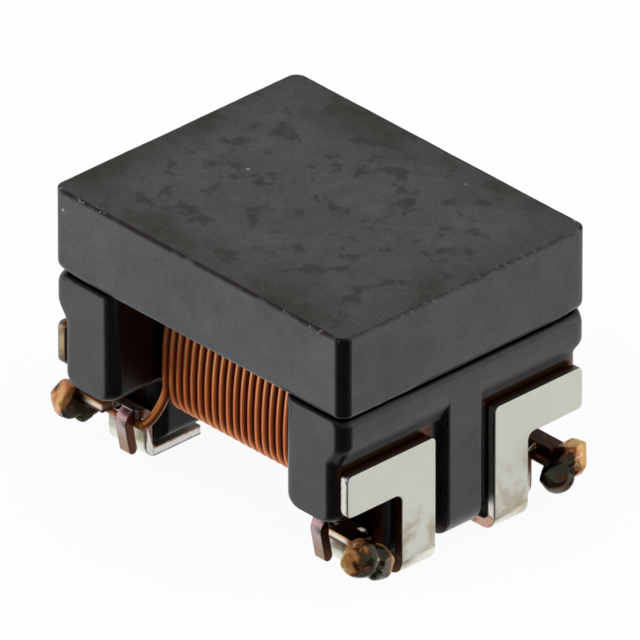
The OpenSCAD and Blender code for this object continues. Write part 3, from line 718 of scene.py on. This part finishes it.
# flange: a side view of points carried across in stations; each station gives the rib's drop, the inset of
# the middle block's corner, the inset at the flange's side, and whether the corner notch is open
def flangeRings():
    half, window, low, high, end = (core[key] for key in ("half", "window", "low", "high", "side"))
    recess, roof, r, toe, c = (drum[key] for key in ("recess", "roof", "lowRound", "toe", "corner"))
    rib, block, gap, near = (drum[key] for key in ("rib", "block", "gap", "near"))
    depth = half - recess
    fall = np.radians(np.linspace(0, 90, drum["arcSteps"] + 1))
    wide = np.radians(np.linspace(0, 90, drum["toeSteps"] + 1))
    swell = np.linspace(1, 0, drum["ledgeSteps"] + 1)  # the ledge swells out as half a cosine wave

    def upright(x, start, stop, count=3):
        return np.column_stack([np.full(count, x), np.linspace(start, stop, count)])

    def frontArc(level, radius, turn):
        return np.column_stack([recess - radius + radius * np.cos(turn),
                                level + radius - radius * np.sin(turn)])

    def backArc(level):
        return np.column_stack([window + r - r * np.sin(fall), level + r - r * np.cos(fall)])

    innerTop, outerTop = (window, high), (half, high)
    runs = {"inner": cornerArc((window, roof), innerTop, outerTop, drum["innerRound"], drum["innerSteps"]),
            "outer": cornerArc(innerTop, outerTop, (half, roof), drum["topRound"], drum["topSteps"]),
            "brow": np.column_stack([recess + depth * (1 - np.cos(math.pi * swell)) / 2,
                                     drum["recessTop"] + drum["ledge"] * swell]),
            "face": upright(recess, drum["recessTop"] - drum["faceStart"], roof + r + gap, 4),
            "roofArc": frontArc(roof, r, fall),
            "side": upright(recess, roof - gap, low + toe + gap),
            "toeArc": frontArc(low, toe, wide),
            "lowArc": backArc(low),
            "back": upright(window, low + r + gap, roof - gap),
            "roofBack": backArc(roof),
            "wall": upright(window, roof + r + gap, high - drum["wallEnd"])}
    kind = np.concatenate([np.full(len(points), label) for label, points in runs.items()])
    flat = np.concatenate(list(runs.values()))

    def on(*labels):
        return np.isin(kind, labels)

    rise = np.radians(drum["riseAngles"])

    # quarter turn up to a side: places across, and how far the surface stands back there
    def quarter(side, radius):
        return zip(side - radius + radius * np.sin(rise), radius * (1 - np.cos(rise)))

    inRib, inBlock, inNotch = drum["across"]
    stations = [(y, 0, 0, 0, 0) for y in (*inRib, rib - drum["ribEdge"] - drum["nearRib"])]
    stations += [(y, inset, 0, 0, 0) for y, inset in quarter(rib, drum["ribEdge"])]
    stations += [(y, depth, 0, 0, 0) for y in (rib, rib + gap, *inBlock, block - c - near)]
    stations += [(y, depth, inset, 0, 0) for y, inset in quarter(block, c)]
    stations += [(y, depth, c, 0, 1) for y in (block, block + gap, *inNotch, end - c - near)]
    stations += [(y, depth, c, inset, 1) for y, inset in quarter(end, c)]
    stations = np.array(stations)
    stations = np.concatenate([stations[:0:-1] * np.array([-1, 1, 1, 1, 1]), stations])
    y, drop, blockInset, endInset, notch = (stations[:, i:i + 1] for i in range(5))
    notch = notch > 0
    x = np.repeat(flat[None, :, 0], len(stations), 0)
    z = np.repeat(flat[None, :, 1], len(stations), 0)
    # the rounding of the top edge grows towards the corners
    topTurn = np.radians(np.linspace(0, 90, drum["topSteps"] + 1))
    topRound = drum["topRound"] + drum["cornerWear"] * cornerWear(end - np.abs(y), y > 0)
    x[:, on("outer")] = half - topRound + topRound * np.sin(topTurn)
    z[:, on("outer")] = high - topRound + topRound * np.cos(topTurn)
    # middle block: its sides stand in by the corner inset, its arcs are cut by them
    blockFront, blockBack = recess - blockInset, window + blockInset
    x = np.where(on("roofArc") & ~notch, np.maximum(x, blockFront), x)
    x = np.where(on("side"), blockFront, x)
    x = np.where(on("toeArc"), np.minimum(x, blockFront), x)
    x = np.where(on("lowArc", "back"), np.maximum(x, blockBack), x)
    x = np.where(on("roofBack") & ~notch, np.minimum(x, blockBack), x)
    # notch: what is block elsewhere lies flat on the roof, in one run from the front and one from the back
    front, rear = on("side", "toeArc"), on("lowArc", "back")
    frontX = recess - c - (toe - c) * np.linspace(0, 1, front.sum() + 2)[1:-1]
    rearX = window + c + drum["rearRun"] * np.linspace(1, 0, rear.sum() + 2)[1:-1]
    x[:, front] = np.where(notch, frontX, x[:, front])
    x[:, rear] = np.where(notch, rearX, x[:, rear])
    z = np.where((front | rear) & notch, roof, z)
    # rib: the face comes forward to the end face, less the drop at the rib's edge
    onRib = drop < depth
    x = np.where(on("brow", "face", "roofArc", "side") & onRib, np.maximum(x, half - drop), x)
    x = np.where(on("toeArc") & onRib, np.maximum(x, flat[:, 0] + depth - drop), x)
    # rounded upright edges at the flange's sides, and rounded top side edges
    outside = on("outer", "brow", "face", "roofArc", "side", "toeArc")
    x = np.where(outside, x - endInset, x + endInset)
    sideRound = drum["sideRound"]
    over = np.clip(np.abs(y) - end + sideRound, 0, sideRound)
    z = np.minimum(z, high - sideRound + np.sqrt(sideRound * sideRound - over * over))
    grid = np.stack([x, np.repeat(y, x.shape[1], 1), z], -1)
    # marks: painted shade on the top edges, fading out downwards, and on the upright corners of flange and
    # block
    fade = np.clip((z - high) / drum["topRound"] + 1, 0, 1) ** drum["fadePower"]
    sideFade = np.clip((z - high) / sideRound + 1, 0, 1) * (over > 1e-4)
    wearAndShade = np.where(on("outer"), fade, np.maximum(on("inner"), sideFade))
    turned = [np.degrees(np.arccos(np.clip(1 - inset / c, -1, 1))) for inset in (endInset, blockInset)]
    lower = on("side", "toeArc", "lowArc", "back", "roofBack", "wall")
    marks = {"edge": wearAndShade, "corner": np.maximum(cornerShade(turned[0]), cornerShade(turned[1]) * lower)}
    # one more ring inside each end face, so that the marks stay by the edge
    middle = np.array([(half + window) / 2, 0, drum["capHeight"]])
    scale = np.array([drum["capScale"], 1, drum["capScale"]])
    caps = [middle + (ring - middle) * scale for ring in (grid[0], grid[-1])]
    grid = np.concatenate([caps[:1], grid, caps[1:]])
    return grid, {label: np.pad(values.astype(float), ((1, 1), (0, 0))) for label, values in marks.items()}


def postRings():
    half, low, high = drum["post"]
    lowRound, highRound = drum["postRound"]
    outline = roundOutline([(-half, low), (half, low), (half, high), (-half, high)],
                           [lowRound, lowRound, highRound, highRound], drum["postSteps"])
    ends = np.array([-1, 1]) * (core["window"] + drum["postInto"])
    return np.array([np.column_stack([np.full(len(outline), x), outline]) for x in ends])


# the flange at the other end is the same one after a half turn
def makeDrum():
    grid, marks = flangeRings()
    post = postRings()
    plain = {label: np.zeros(post.shape[:2]) for label in marks}
    bodies = [ringBody("flangeFront", grid, marks),
              ringBody("flangeBack", grid * np.array([-1, -1, 1]), marks),
              ringBody("post", post, plain)]
    return unite("drum", bodies)


drumMesh = makeDrum()
finishPiece("drum", drumMesh, "drum_core", drumFerrite)
print("drum made:", len(drumMesh.polygons), "faces")

# windings; the last turn ends a few points short, where the lead sets off
coil = {"half": 0.9345, "low": 0.5455, "high": 1.8545, "lowRound": 0.2595, "highRound": 0.4595,
        "bow": 0.015, "highSteps": 4, "lowSteps": 3, "pitch": 0.0974, "turns": 11, "short": 3,
        "leadX": 1.22, "leadSteps": 9, "pull": 0.1, "rise": 0.16, "sides": 14, "fine": 4,
        "burnt": (0.5, 1.1), "smooth": 60}


# one loop round the post in Y and Z: quarter circles at the corners, straight runs that bow out a little
def loopPoints():
    half, low, high, r, big = (coil[key] for key in ("half", "low", "high", "lowRound", "highRound"))
    lowBend, highBend = low + r, high - big
    lowEdge, highEdge = half - r, half - big
    lowSteps, highSteps = coil["lowSteps"], coil["highSteps"]

    def bowed(p, q, out):
        s = np.array([[1 / 3], [2 / 3]])
        return np.array(p) + (np.array(q) - p) * s + np.array(out) * coil["bow"] * 4 * s * (1 - s)

    upper = np.concatenate([bowed((-half, lowBend), (-half, highBend), (-1, 0)),
                            arcPoints(-highEdge, highBend, big, 180, 90, highSteps),
                            bowed((-highEdge, high), (highEdge, high), (0, 1)),
                            arcPoints(highEdge, highBend, big, 90, 0, highSteps),
                            bowed((half, highBend), (half, lowBend), (1, 0))])
    lower = np.concatenate([arcPoints(lowEdge, lowBend, r, 0, -90, lowSteps),
                            bowed((lowEdge, low), (-lowEdge, low), (0, -1)),
                            arcPoints(-lowEdge, lowBend, r, -90, -180, lowSteps)])
    return np.concatenate([upper, lower]), len(upper), lowBend


def bezier(a, b, c, d, steps):
    t = np.linspace(0, 1, steps + 1)[1:-1, None]
    u = 1 - t
    return a * u ** 3 + b * 3 * u * u * t + c * 3 * u * t * t + d * t ** 3


# smooth path through given points: each stretch is a cubic whose slopes come from its neighbours
def smoothPath(points, fine):
    padded = np.concatenate([2 * points[:1] - points[1:2], points, 2 * points[-1:] - points[-2:-1]])
    p0, p1, p2, p3 = (p[:, None, :] for p in (padded[:-3], padded[1:-2], padded[2:-1], padded[3:]))
    t = (np.arange(fine) / fine)[None, :, None]
    square, cube = 2 * p0 - 5 * p1 + 4 * p2 - p3, 3 * p1 - p0 - 3 * p2 + p3
    curve = 0.5 * (2 * p1 + (p2 - p0) * t + square * t ** 2 + cube * t ** 3)
    return np.concatenate([curve.reshape(-1, 3), points[-1:]])


# from weld to weld: channel, lead, turns round the post, lead, channel
def wirePath():
    loop, upperCount, lowBend = loopPoints()
    count = len(loop)
    advance = 2 * coil["pitch"]
    start = -coil["pitch"] * (coil["turns"] + (upperCount - 1) / count - 0.5)
    index = np.arange(coil["turns"] * count - coil["short"])
    turns = np.column_stack([start + advance * index / count, loop[index % count]])
    first = np.array([start - advance / count, -coil["half"], lowBend])
    last = turns[-1]
    channel = np.array([0, -metal["wireY"], metal["wireZ"]])
    leadIn, leadOut = channel - [coil["leadX"], 0, 0], channel + [coil["leadX"], 0, 0]
    pull, rise, steps = coil["pull"], coil["rise"], coil["leadSteps"]
    weldX = metal["weldPlane"] + metal["overlap"]
    path = [channel - [[weldX, 0, 0]], leadIn[None],
            bezier(leadIn, leadIn + [pull, 0, 0], first - [0, 0, rise], first, steps), first[None], turns,
            bezier(last, last - [0, rise, 0], leadOut - [pull, 0, 0], leadOut, steps), leadOut[None],
            channel + [[weldX, 0, 0]]]
    return smoothPath(np.concatenate(path), coil["fine"])


# round section carried along a path: the section's normal is the one before, made square to the path
def sweptTube(path, radius, sides):
    tangent = np.gradient(path, axis=0)
    tangent /= np.linalg.norm(tangent, axis=1, keepdims=True)
    normal = np.empty_like(path)
    current = np.array([0.0, 0.0, 1.0])
    for i, t in enumerate(tangent):
        current = current - t * (current @ t)
        current /= np.linalg.norm(current)
        normal[i] = current
    side = np.cross(tangent, normal)
    a = 2 * math.pi * np.arange(sides) / sides
    ring = normal[:, None] * np.cos(a)[None, :, None] + side[:, None] * np.sin(a)[None, :, None]
    return path[:, None] + radius * ring


# the second wire is the first one after a half turn
def makeWire(name, sign):
    path = wirePath()
    columns = coil["sides"]
    rings = sweptTube(path, metal["wireRadius"], columns) * np.array([sign, sign, 1])
    mesh = unite(name, [ringBody(name, rings)])
    length = np.concatenate([[0], np.cumsum(np.linalg.norm(np.diff(path, axis=0), axis=1))])
    corner = np.empty(len(mesh.loops), np.int32)
    mesh.loops.foreach_get("vertex_index", corner)
    uv = np.column_stack([length[corner // columns], (corner % columns) / columns])
    layer = mesh.uv_layers.new(name="alongWire")
    layer.data.foreach_set("uv", uv.astype(np.float32).ravel())
    fromEnd = np.minimum(length, length[-1] - length)  # enamel is scorched towards the welds
    near, far = coil["burnt"]
    storeFloat(mesh, "burnt", np.repeat(np.clip((far - fromEnd) / (far - near), 0, 1), columns))
    return mesh


for name, node, sign in (("wireA", "winding_a", 1), ("wireB", "winding_b", -1)):
    finishPiece(name, makeWire(name, sign), node, wireEnamel, coil["smooth"])
print("windings made")

# terminals; slack is how far past a border a face or point still counts as part of it
tab = {"legIn": 0.378, "legOut": 0.808, "armReach": 1.5, "armTop": 1.355, "armLow": 0.91, "round": 0.06,
       "fillet": 0.08, "footBend": 0.07, "smallBend": 0.05, "footEnd": 1.22, "riserIn": 0.992,
       "riserEnd": 1.725, "shelfTop": 0.57, "clawStart": 1.26, "clawWidth": 0.145, "clawIn": 1.207,
       "clawFold": 0.028, "clawLean": 11, "clawTip": 0.11, "lipStart": 1.545, "lipOut": 1.337,
       "weldSag": 0.016, "edgeRound": 0.01, "flatOver": 0.012, "faceSteps": 6, "footSteps": 12,
       "smallSteps": 8, "clawSteps": (9, 10, 6), "faceSlack": 0.005, "footSlack": 0.002,
       "edgeSlack": (0.02, 0.012), "clawSlack": (0.01, 0.04), "shelfSlack": 0.05, "heatZ": (0.4, 0.6),
       "heatX": (1.42, 1.54), "smooth": 30}


# outline of a bent sheet from its outer and its inner line, which lie one sheet thickness apart
def sheetOutline(outer, inner):
    return np.concatenate([outer, inner[::-1]])


# bodies that touch face to face: the L-shaped face, bend and foot, riser and shelf in four lengths, claw
def makeTerminalBody():
    s, half = metal["sheet"], core["half"]
    legIn, legOut = tab["legIn"], tab["legOut"]
    low, high, reach = tab["armLow"], tab["armTop"], tab["armReach"]
    bend, b, riserIn = tab["footBend"], tab["smallBend"], tab["riserIn"]
    bendZ, riserOut, shelfLow = s + bend, riserIn + s, tab["shelfTop"] - s
    faceCorners = [(legIn, bendZ), (legOut, bendZ), (legOut, low), (reach, low), (reach, high), (legIn, high)]
    outline = roundOutline(faceCorners, [0, 0, tab["fillet"], *[tab["round"]] * 3], tab["faceSteps"])
    face = prism("face", outline, 0, half - s, half)

    def footLine(radius, level):
        return np.concatenate([arcPoints(half - s - bend, bendZ, radius, 0, -90, tab["footSteps"]),
                               [[tab["riserEnd"], level]]])

    foot = prism("foot", sheetOutline(footLine(bend + s, 0), footLine(bend, s)), 1, legIn, legOut)

    def riserLine(start, firstBend, secondBend, end):
        steps = tab["smallSteps"]
        return np.concatenate([[start], arcPoints(riserIn - b, s + b, firstBend, -90, 0, steps),
                               arcPoints(riserOut + b, shelfLow - b, secondBend, 180, 90, steps), [end]])

    def riser(name, reach, start, end):
        outer = riserLine((legIn, 0), b + s, b, (reach, shelfLow))
        inner = riserLine((legIn, s), b, b + s, (reach, tab["shelfTop"]))
        return prism(name, sheetOutline(outer, inner), 0, start, end)

    fold = np.array([tab["clawIn"] - tab["clawFold"], shelfLow - tab["clawFold"]])
    risers = [riser("riserFront", fold[0], tab["footEnd"], tab["clawStart"]),
              riser("riserMiddle", tab["clawIn"], tab["clawStart"], tab["lipStart"]),
              riser("riserBack", tab["lipOut"], tab["lipStart"], tab["riserEnd"])]
    weldLow, start, lipOut, top = shelfLow - tab["weldSag"], riserOut + b, tab["lipOut"], tab["shelfTop"]
    shelfPoints = np.array([[start, weldLow], [lipOut, weldLow], [lipOut, top], [start, top]])
    shelf = prism("shelf", shelfPoints, 0, tab["riserEnd"], metal["weldPlane"] + metal["overlap"])
    degrees, lean = tab["clawLean"], math.radians(tab["clawLean"])
    hang = (fold[1] - tab["clawTip"] - s / 2) / math.cos(lean)
    down = np.array([-math.sin(lean), -math.cos(lean)])
    out = np.array([math.cos(lean), -math.sin(lean)])
    tip = fold + out * (tab["clawFold"] + s / 2) + down * hang
    outerSteps, tipSteps, innerSteps = tab["clawSteps"]
    bow = np.concatenate([arcPoints(*fold, tab["clawFold"] + s, 90, -degrees, outerSteps),
                          arcPoints(*tip, s / 2, -degrees, -180 - degrees, tipSteps),
                          arcPoints(*fold, tab["clawFold"], -degrees, 90, innerSteps)])
    claw = prism("claw", bow, 0, tab["clawStart"], tab["clawStart"] + tab["clawWidth"])
    return unite("terminal", [face, foot, *risers, shelf, claw], tab["edgeRound"])


# cut edges: faces that look along the sheet instead of across it
def cutEdges(mesh, signX, signY):
    x, y, z = (vectorsOf(mesh.polygons, "center") * np.array([signX, signY, 1])).T
    alongX, alongY, alongZ = np.abs(vectorsOf(mesh.polygons, "normal")).T > 0.5
    s = metal["sheet"]
    bendZ, inner = s + tab["footBend"], core["half"] - s
    onFace = (x > inner - tab["faceSlack"]) & (z > bendZ)
    onBend = (x > inner - tab["footBend"]) & (z <= bendZ)
    onFoot = ~onFace & ~onBend & (z < s + tab["footSlack"]) & (y < tab["riserIn"] - tab["smallBend"])
    rest = ~onFace & ~onBend & ~onFoot
    slackX, slackY = tab["edgeSlack"]
    shelfEdge = (y > tab["clawIn"] - slackY) & (x > tab["clawStart"] + tab["clawWidth"] + slackX)
    return onFace & ~alongX | onBend & alongY | onFoot & ~alongZ | rest & (alongX | shelfEdge & alongY)


# marks of the sheet's points: depth is 0 on its outer and 1 on its inner side, claw is 1 on the claw, and
# scorched is 1 on shelf and lip by the weld
def sheetMarks(mesh, signX, signY):
    x, y, z = (vectorsOf(mesh.vertices, "co") * np.array([signX, signY, 1])).T
    s = metal["sheet"]
    depth = np.where(z > s + tab["footBend"], (core["half"] - x) / s, z / s)
    slackX, slackY = tab["clawSlack"]
    claw = (y > tab["clawIn"] - slackY) & (x < tab["clawStart"] + tab["clawWidth"] + slackX)
    bottom, top = tab["heatZ"]
    shelf = (z > bottom) & (z < top) & (x < core["half"] - s + tab["shelfSlack"])
    shelf &= y > tab["riserIn"] - tab["shelfSlack"]
    start, full = tab["heatX"]
    heat = np.where(shelf & ~claw, np.clip((x - start) / (full - start), 0, 1), 0)
    return {"depth": np.clip(depth, 0, 1), "claw": claw, "scorched": heat}


corners = {1: (-1, -1), 2: (1, -1), 3: (1, 1), 4: (-1, 1)}
terminalMesh = makeTerminalBody()
for number, signs in corners.items():
    mesh = mirrored(terminalMesh.copy(), *signs)
    storeFloat(mesh, "bare", cutEdges(mesh, *signs), "FACE")
    for label, values in sheetMarks(mesh, *signs).items():
        storeFloat(mesh, label, values)
    node = "terminal_%d" % number
    finishPiece("terminal%d" % number, mesh, node, tinSheet, tab["smooth"], tab["flatOver"])
print("terminals made:", len(terminalMesh.polygons), "faces each")

# weld beads, placed from the weld plane, the wire's line and the underside of the shelf; tone, lean and
# inner give for each corner how warm its tints are, how they lean along X and how warm the inner side is
bead = {"lobes": [(0.09, 0.0, -0.15, 0.165), (0.08, 0.2, -0.03, 0.185)], "heart": (0.085, 0.094, -0.094),
        "low": 0.47, "rows": 64, "columns": 96, "blend": 14, "seed": 40, "waves": 7, "waveRate": (4, 11),
        "waveHeight": 0.004, "phase": 6.28, "facets": 6, "facetSpread": 0.8, "facetWay": (0.5, 0.9, 0.2),
        "facetLevel": (0.8, 0.92), "warmY": (-0.05, 0.45), "leanFrom": 0.08, "coolBelow": -0.08,
        "coolRate": 2.5, "innerFrom": 0.05, "tone": {1: -0.3, 2: -0.14, 3: 0.0, 4: -0.1},
        "lean": {1: 1.2, 2: -2.4, 3: 0.6, 4: 1.2}, "inner": {1: 0, 2: 6.0, 3: 0, 4: 2.0}, "smooth": 50}


# drop seen from its heart, a point inside both balls: along each direction the farther of the two surfaces,
# with the crease between them filled, low waves, flats shaved off the lump and a flat back
def makeBead(number, signs):
    turn = np.linspace(0, math.pi, bead["rows"] + 1)[:, None]
    around = (2 * math.pi * np.arange(bead["columns"]) / bead["columns"])[None]
    way = [np.cos(turn) + 0 * around, np.sin(turn) * np.cos(around), np.sin(turn) * np.sin(around)]
    way = np.stack(way, -1)
    heart = np.array(bead["heart"])
    reaches = []
    for x, y, z, radius in bead["lobes"]:
        offset = np.array([x, y, z]) - heart
        ahead = way @ offset
        reaches.append(ahead + np.sqrt(ahead * ahead - offset @ offset + radius * radius))
    reach = (np.array(reaches) ** bead["blend"]).sum(0) ** (1 / bead["blend"])
    rng = np.random.default_rng(bead["seed"] + number)
    for i in range(bead["waves"]):
        axis = rng.normal(size=3)
        axis *= rng.uniform(*bead["waveRate"]) / np.linalg.norm(axis)
        reach = reach + bead["waveHeight"] * np.sin(way @ axis + rng.uniform(0, bead["phase"]))
    for i in range(bead["facets"]):
        axis = rng.normal(size=3) * bead["facetSpread"] + np.array(bead["facetWay"])
        along = way @ (axis / np.linalg.norm(axis))
        level = rng.uniform(*bead["facetLevel"]) * (along * reach).max()
        reach = np.where(along * reach > level, level / np.maximum(along, 1e-6), reach)
    back = np.where(way[..., 0] < -1e-6, -heart[0] / np.minimum(way[..., 0], -1e-6), np.inf)
    local = heart + way * np.minimum(reach, back)[..., None]
    x, y, z = np.moveaxis(local, -1, 0)
    start, length = bead["warmY"]
    warm = (y - start) / length + (x - bead["leanFrom"]) * bead["lean"][number]
    warm = warm + np.minimum(z - bead["coolBelow"], 0) * bead["coolRate"]
    inner = (bead["innerFrom"] - y) * bead["inner"][number]
    warm = np.maximum(np.clip(warm, 0, 1), np.clip(inner, 0, 1)) + bead["tone"][number]
    points = (local + np.array([metal["weldPlane"], metal["wireY"], bead["low"]])) * np.array([*signs, 1])
    obj = workObject("bead", points.reshape(-1, 3), ringQuads(*points.shape[:2]))
    storeFloat(obj.data, "warm", warm)
    mergeClose(obj)
    return unite("bead%d" % number, [obj])


for number, signs in corners.items():
    mesh = makeBead(number, signs)
    finishPiece("bead%d" % number, mesh, "weld_bead_%d" % number, weldMetal, bead["smooth"])
print("beads made")

# studio
studio = {"azimuth": 46.857, "elevation": 30.41, "span": 5.942, "distance": 270.0, "aimDown": 1.0613,
          "aimRight": 0.0016, "sensor": 36, "clip": (0.01, 10), "floor": 400.0, "floorGap": -0.002,
          "floorColor": 0.9, "floorRough": 0.9, "floorGlow": 0.93, "sky": 1.0, "ceiling": 0.55,
          "overheadEdge": (0.0, 0.5), "fill": 0.6, "frontAzimuth": 46.857, "frontEdge": (-0.1, 0.4),
          "frontLevel": 0.15, "downEdge": (-0.72, -0.95), "horizonEdge": (-0.1, 0.15), "lampDistance": 300,
          "lampSize": 260, "lamps": {"keyLamp": (-25, 22, 0.55), "fillLamp": (120, 45, 0.3)}}


# axes of something that looks at the part from an azimuth and an elevation
def lookFrom(azimuth, elevation):
    a, e = math.radians(azimuth), math.radians(elevation)
    back = np.array([math.sin(a) * math.cos(e), -math.cos(a) * math.cos(e), math.sin(e)])
    right = np.array([math.cos(a), math.sin(a), 0])
    return right, np.cross(back, right), back


def setUp(obj, axes, position):
    matrix = np.eye(4)
    matrix[:3] = np.column_stack([*axes, position * mm])
    obj.matrix_world = Matrix(matrix.tolist())
    scene.collection.objects.link(obj)


def makeCamera():
    right, up, back = lookFrom(studio["azimuth"], studio["elevation"])
    aim = np.array([0, 0, plate["high"]]) - up * studio["aimDown"] + right * studio["aimRight"]
    data = bpy.data.cameras.new("camera")
    data.sensor_width = studio["sensor"]
    data.lens = studio["sensor"] * studio["distance"] / studio["span"]
    data.clip_start, data.clip_end = studio["clip"]
    data.dof.use_dof = False
    camera = bpy.data.objects.new("camera", data)
    setUp(camera, (right, up, back), aim + back * studio["distance"])
    scene.camera = camera


# the room in reflections: white at the horizon, softer overhead, and dark low down towards the front
def makeWorld():
    world = bpy.data.worlds.new("studioWorld")
    world.use_nodes = True
    world.cycles.sampling_method = "NONE"  # each kind of ray gets its own level only when it hits the room
    scene.world = world
    tree = world.node_tree
    sky = tree.nodes["Background"]
    sky.inputs["Color"].default_value = (1, 1, 1, 1)
    x, y, up = separate(tree, put(tree, "ShaderNodeTexCoord").outputs["Generated"])
    flat = put(tree, "ShaderNodeCombineXYZ", {0: x, 1: y}).outputs[0]
    flat = put(tree, "ShaderNodeVectorMath", {0: flat}, operation="NORMALIZE").outputs[0]
    a = math.radians(studio["frontAzimuth"])
    toFront = put(tree, "ShaderNodeVectorMath", {0: flat, 1: (math.sin(a), -math.cos(a), 0)},
                  operation="DOT_PRODUCT").outputs["Value"]
    front = spread(tree, toFront, *studio["frontEdge"], 1.0, studio["frontLevel"])
    front = calc(tree, "MAXIMUM", front, spread(tree, up, *studio["downEdge"]))
    front = calc(tree, "MAXIMUM", front, spread(tree, up, *studio["horizonEdge"]))
    room = product(tree, front, spread(tree, up, *studio["overheadEdge"], studio["sky"], studio["ceiling"]))
    path = put(tree, "ShaderNodeLightPath").outputs
    seen = calc(tree, "MAXIMUM", path["Is Glossy Ray"], path["Is Transmission Ray"])
    level = put(tree, "ShaderNodeMix", {0: seen, 2: studio["fill"], 3: room}).outputs[0]
    level = put(tree, "ShaderNodeMix", {0: path["Is Camera Ray"], 2: level, 3: 1.0}).outputs[0]
    tree.links.new(level, sky.inputs["Strength"])


# pale floor that keeps the shadow, glows for rays that see it directly and is clear from below
def makeFloor():
    square = np.array([(-1, -1), (1, -1), (1, 1), (-1, 1)]) * studio["floor"]
    points = np.column_stack([square, np.full(4, studio["floorGap"])])
    obj = workObject("floor", points * mm, [[0, 1, 2, 3]])
    material = bpy.data.materials.new("paleFloor")
    material.use_nodes = True
    material.cycles.emission_sampling = "NONE"
    tree = material.node_tree
    shader = tree.nodes["Principled BSDF"]
    shader.inputs["Base Color"].default_value = (*[studio["floorColor"]] * 3, 1)
    shader.inputs["Roughness"].default_value = studio["floorRough"]
    path = put(tree, "ShaderNodeLightPath").outputs
    seen = calc(tree, "MAXIMUM", path["Is Camera Ray"], path["Is Glossy Ray"])
    seen = product(tree, calc(tree, "MAXIMUM", seen, path["Is Transmission Ray"]), studio["floorGlow"])
    glow = put(tree, "ShaderNodeEmission", {"Strength": 1.0})
    mix = put(tree, "ShaderNodeMixShader", {0: seen, 1: shader.outputs[0], 2: glow.outputs[0]})
    fromBelow = put(tree, "ShaderNodeNewGeometry").outputs["Backfacing"]
    clear = put(tree, "ShaderNodeBsdfTransparent")
    both = put(tree, "ShaderNodeMixShader", {0: fromBelow, 1: mix.outputs[0], 2: clear.outputs[0]})
    tree.links.new(both.outputs[0], tree.nodes["Material Output"].inputs["Surface"])
    obj.data.materials.append(material)
    obj.visible_glossy = False  # reflections see the room instead


def makeLamp(name, azimuth, elevation, strength):
    axes = lookFrom(azimuth, elevation)
    data = bpy.data.lights.new(name, "AREA")
    data.shape = "DISK"
    data.size = studio["lampSize"] * mm
    data.energy = strength
    lamp = bpy.data.objects.new(name, data)
    lamp.visible_glossy = False  # reflections see the room only
    setUp(lamp, axes, axes[2] * studio["lampDistance"])


makeCamera()
makeWorld()
makeFloor()
for name, settings in studio["lamps"].items():
    makeLamp(name, *settings)
scene.view_settings.view_transform = "Standard"
print("studio ready")
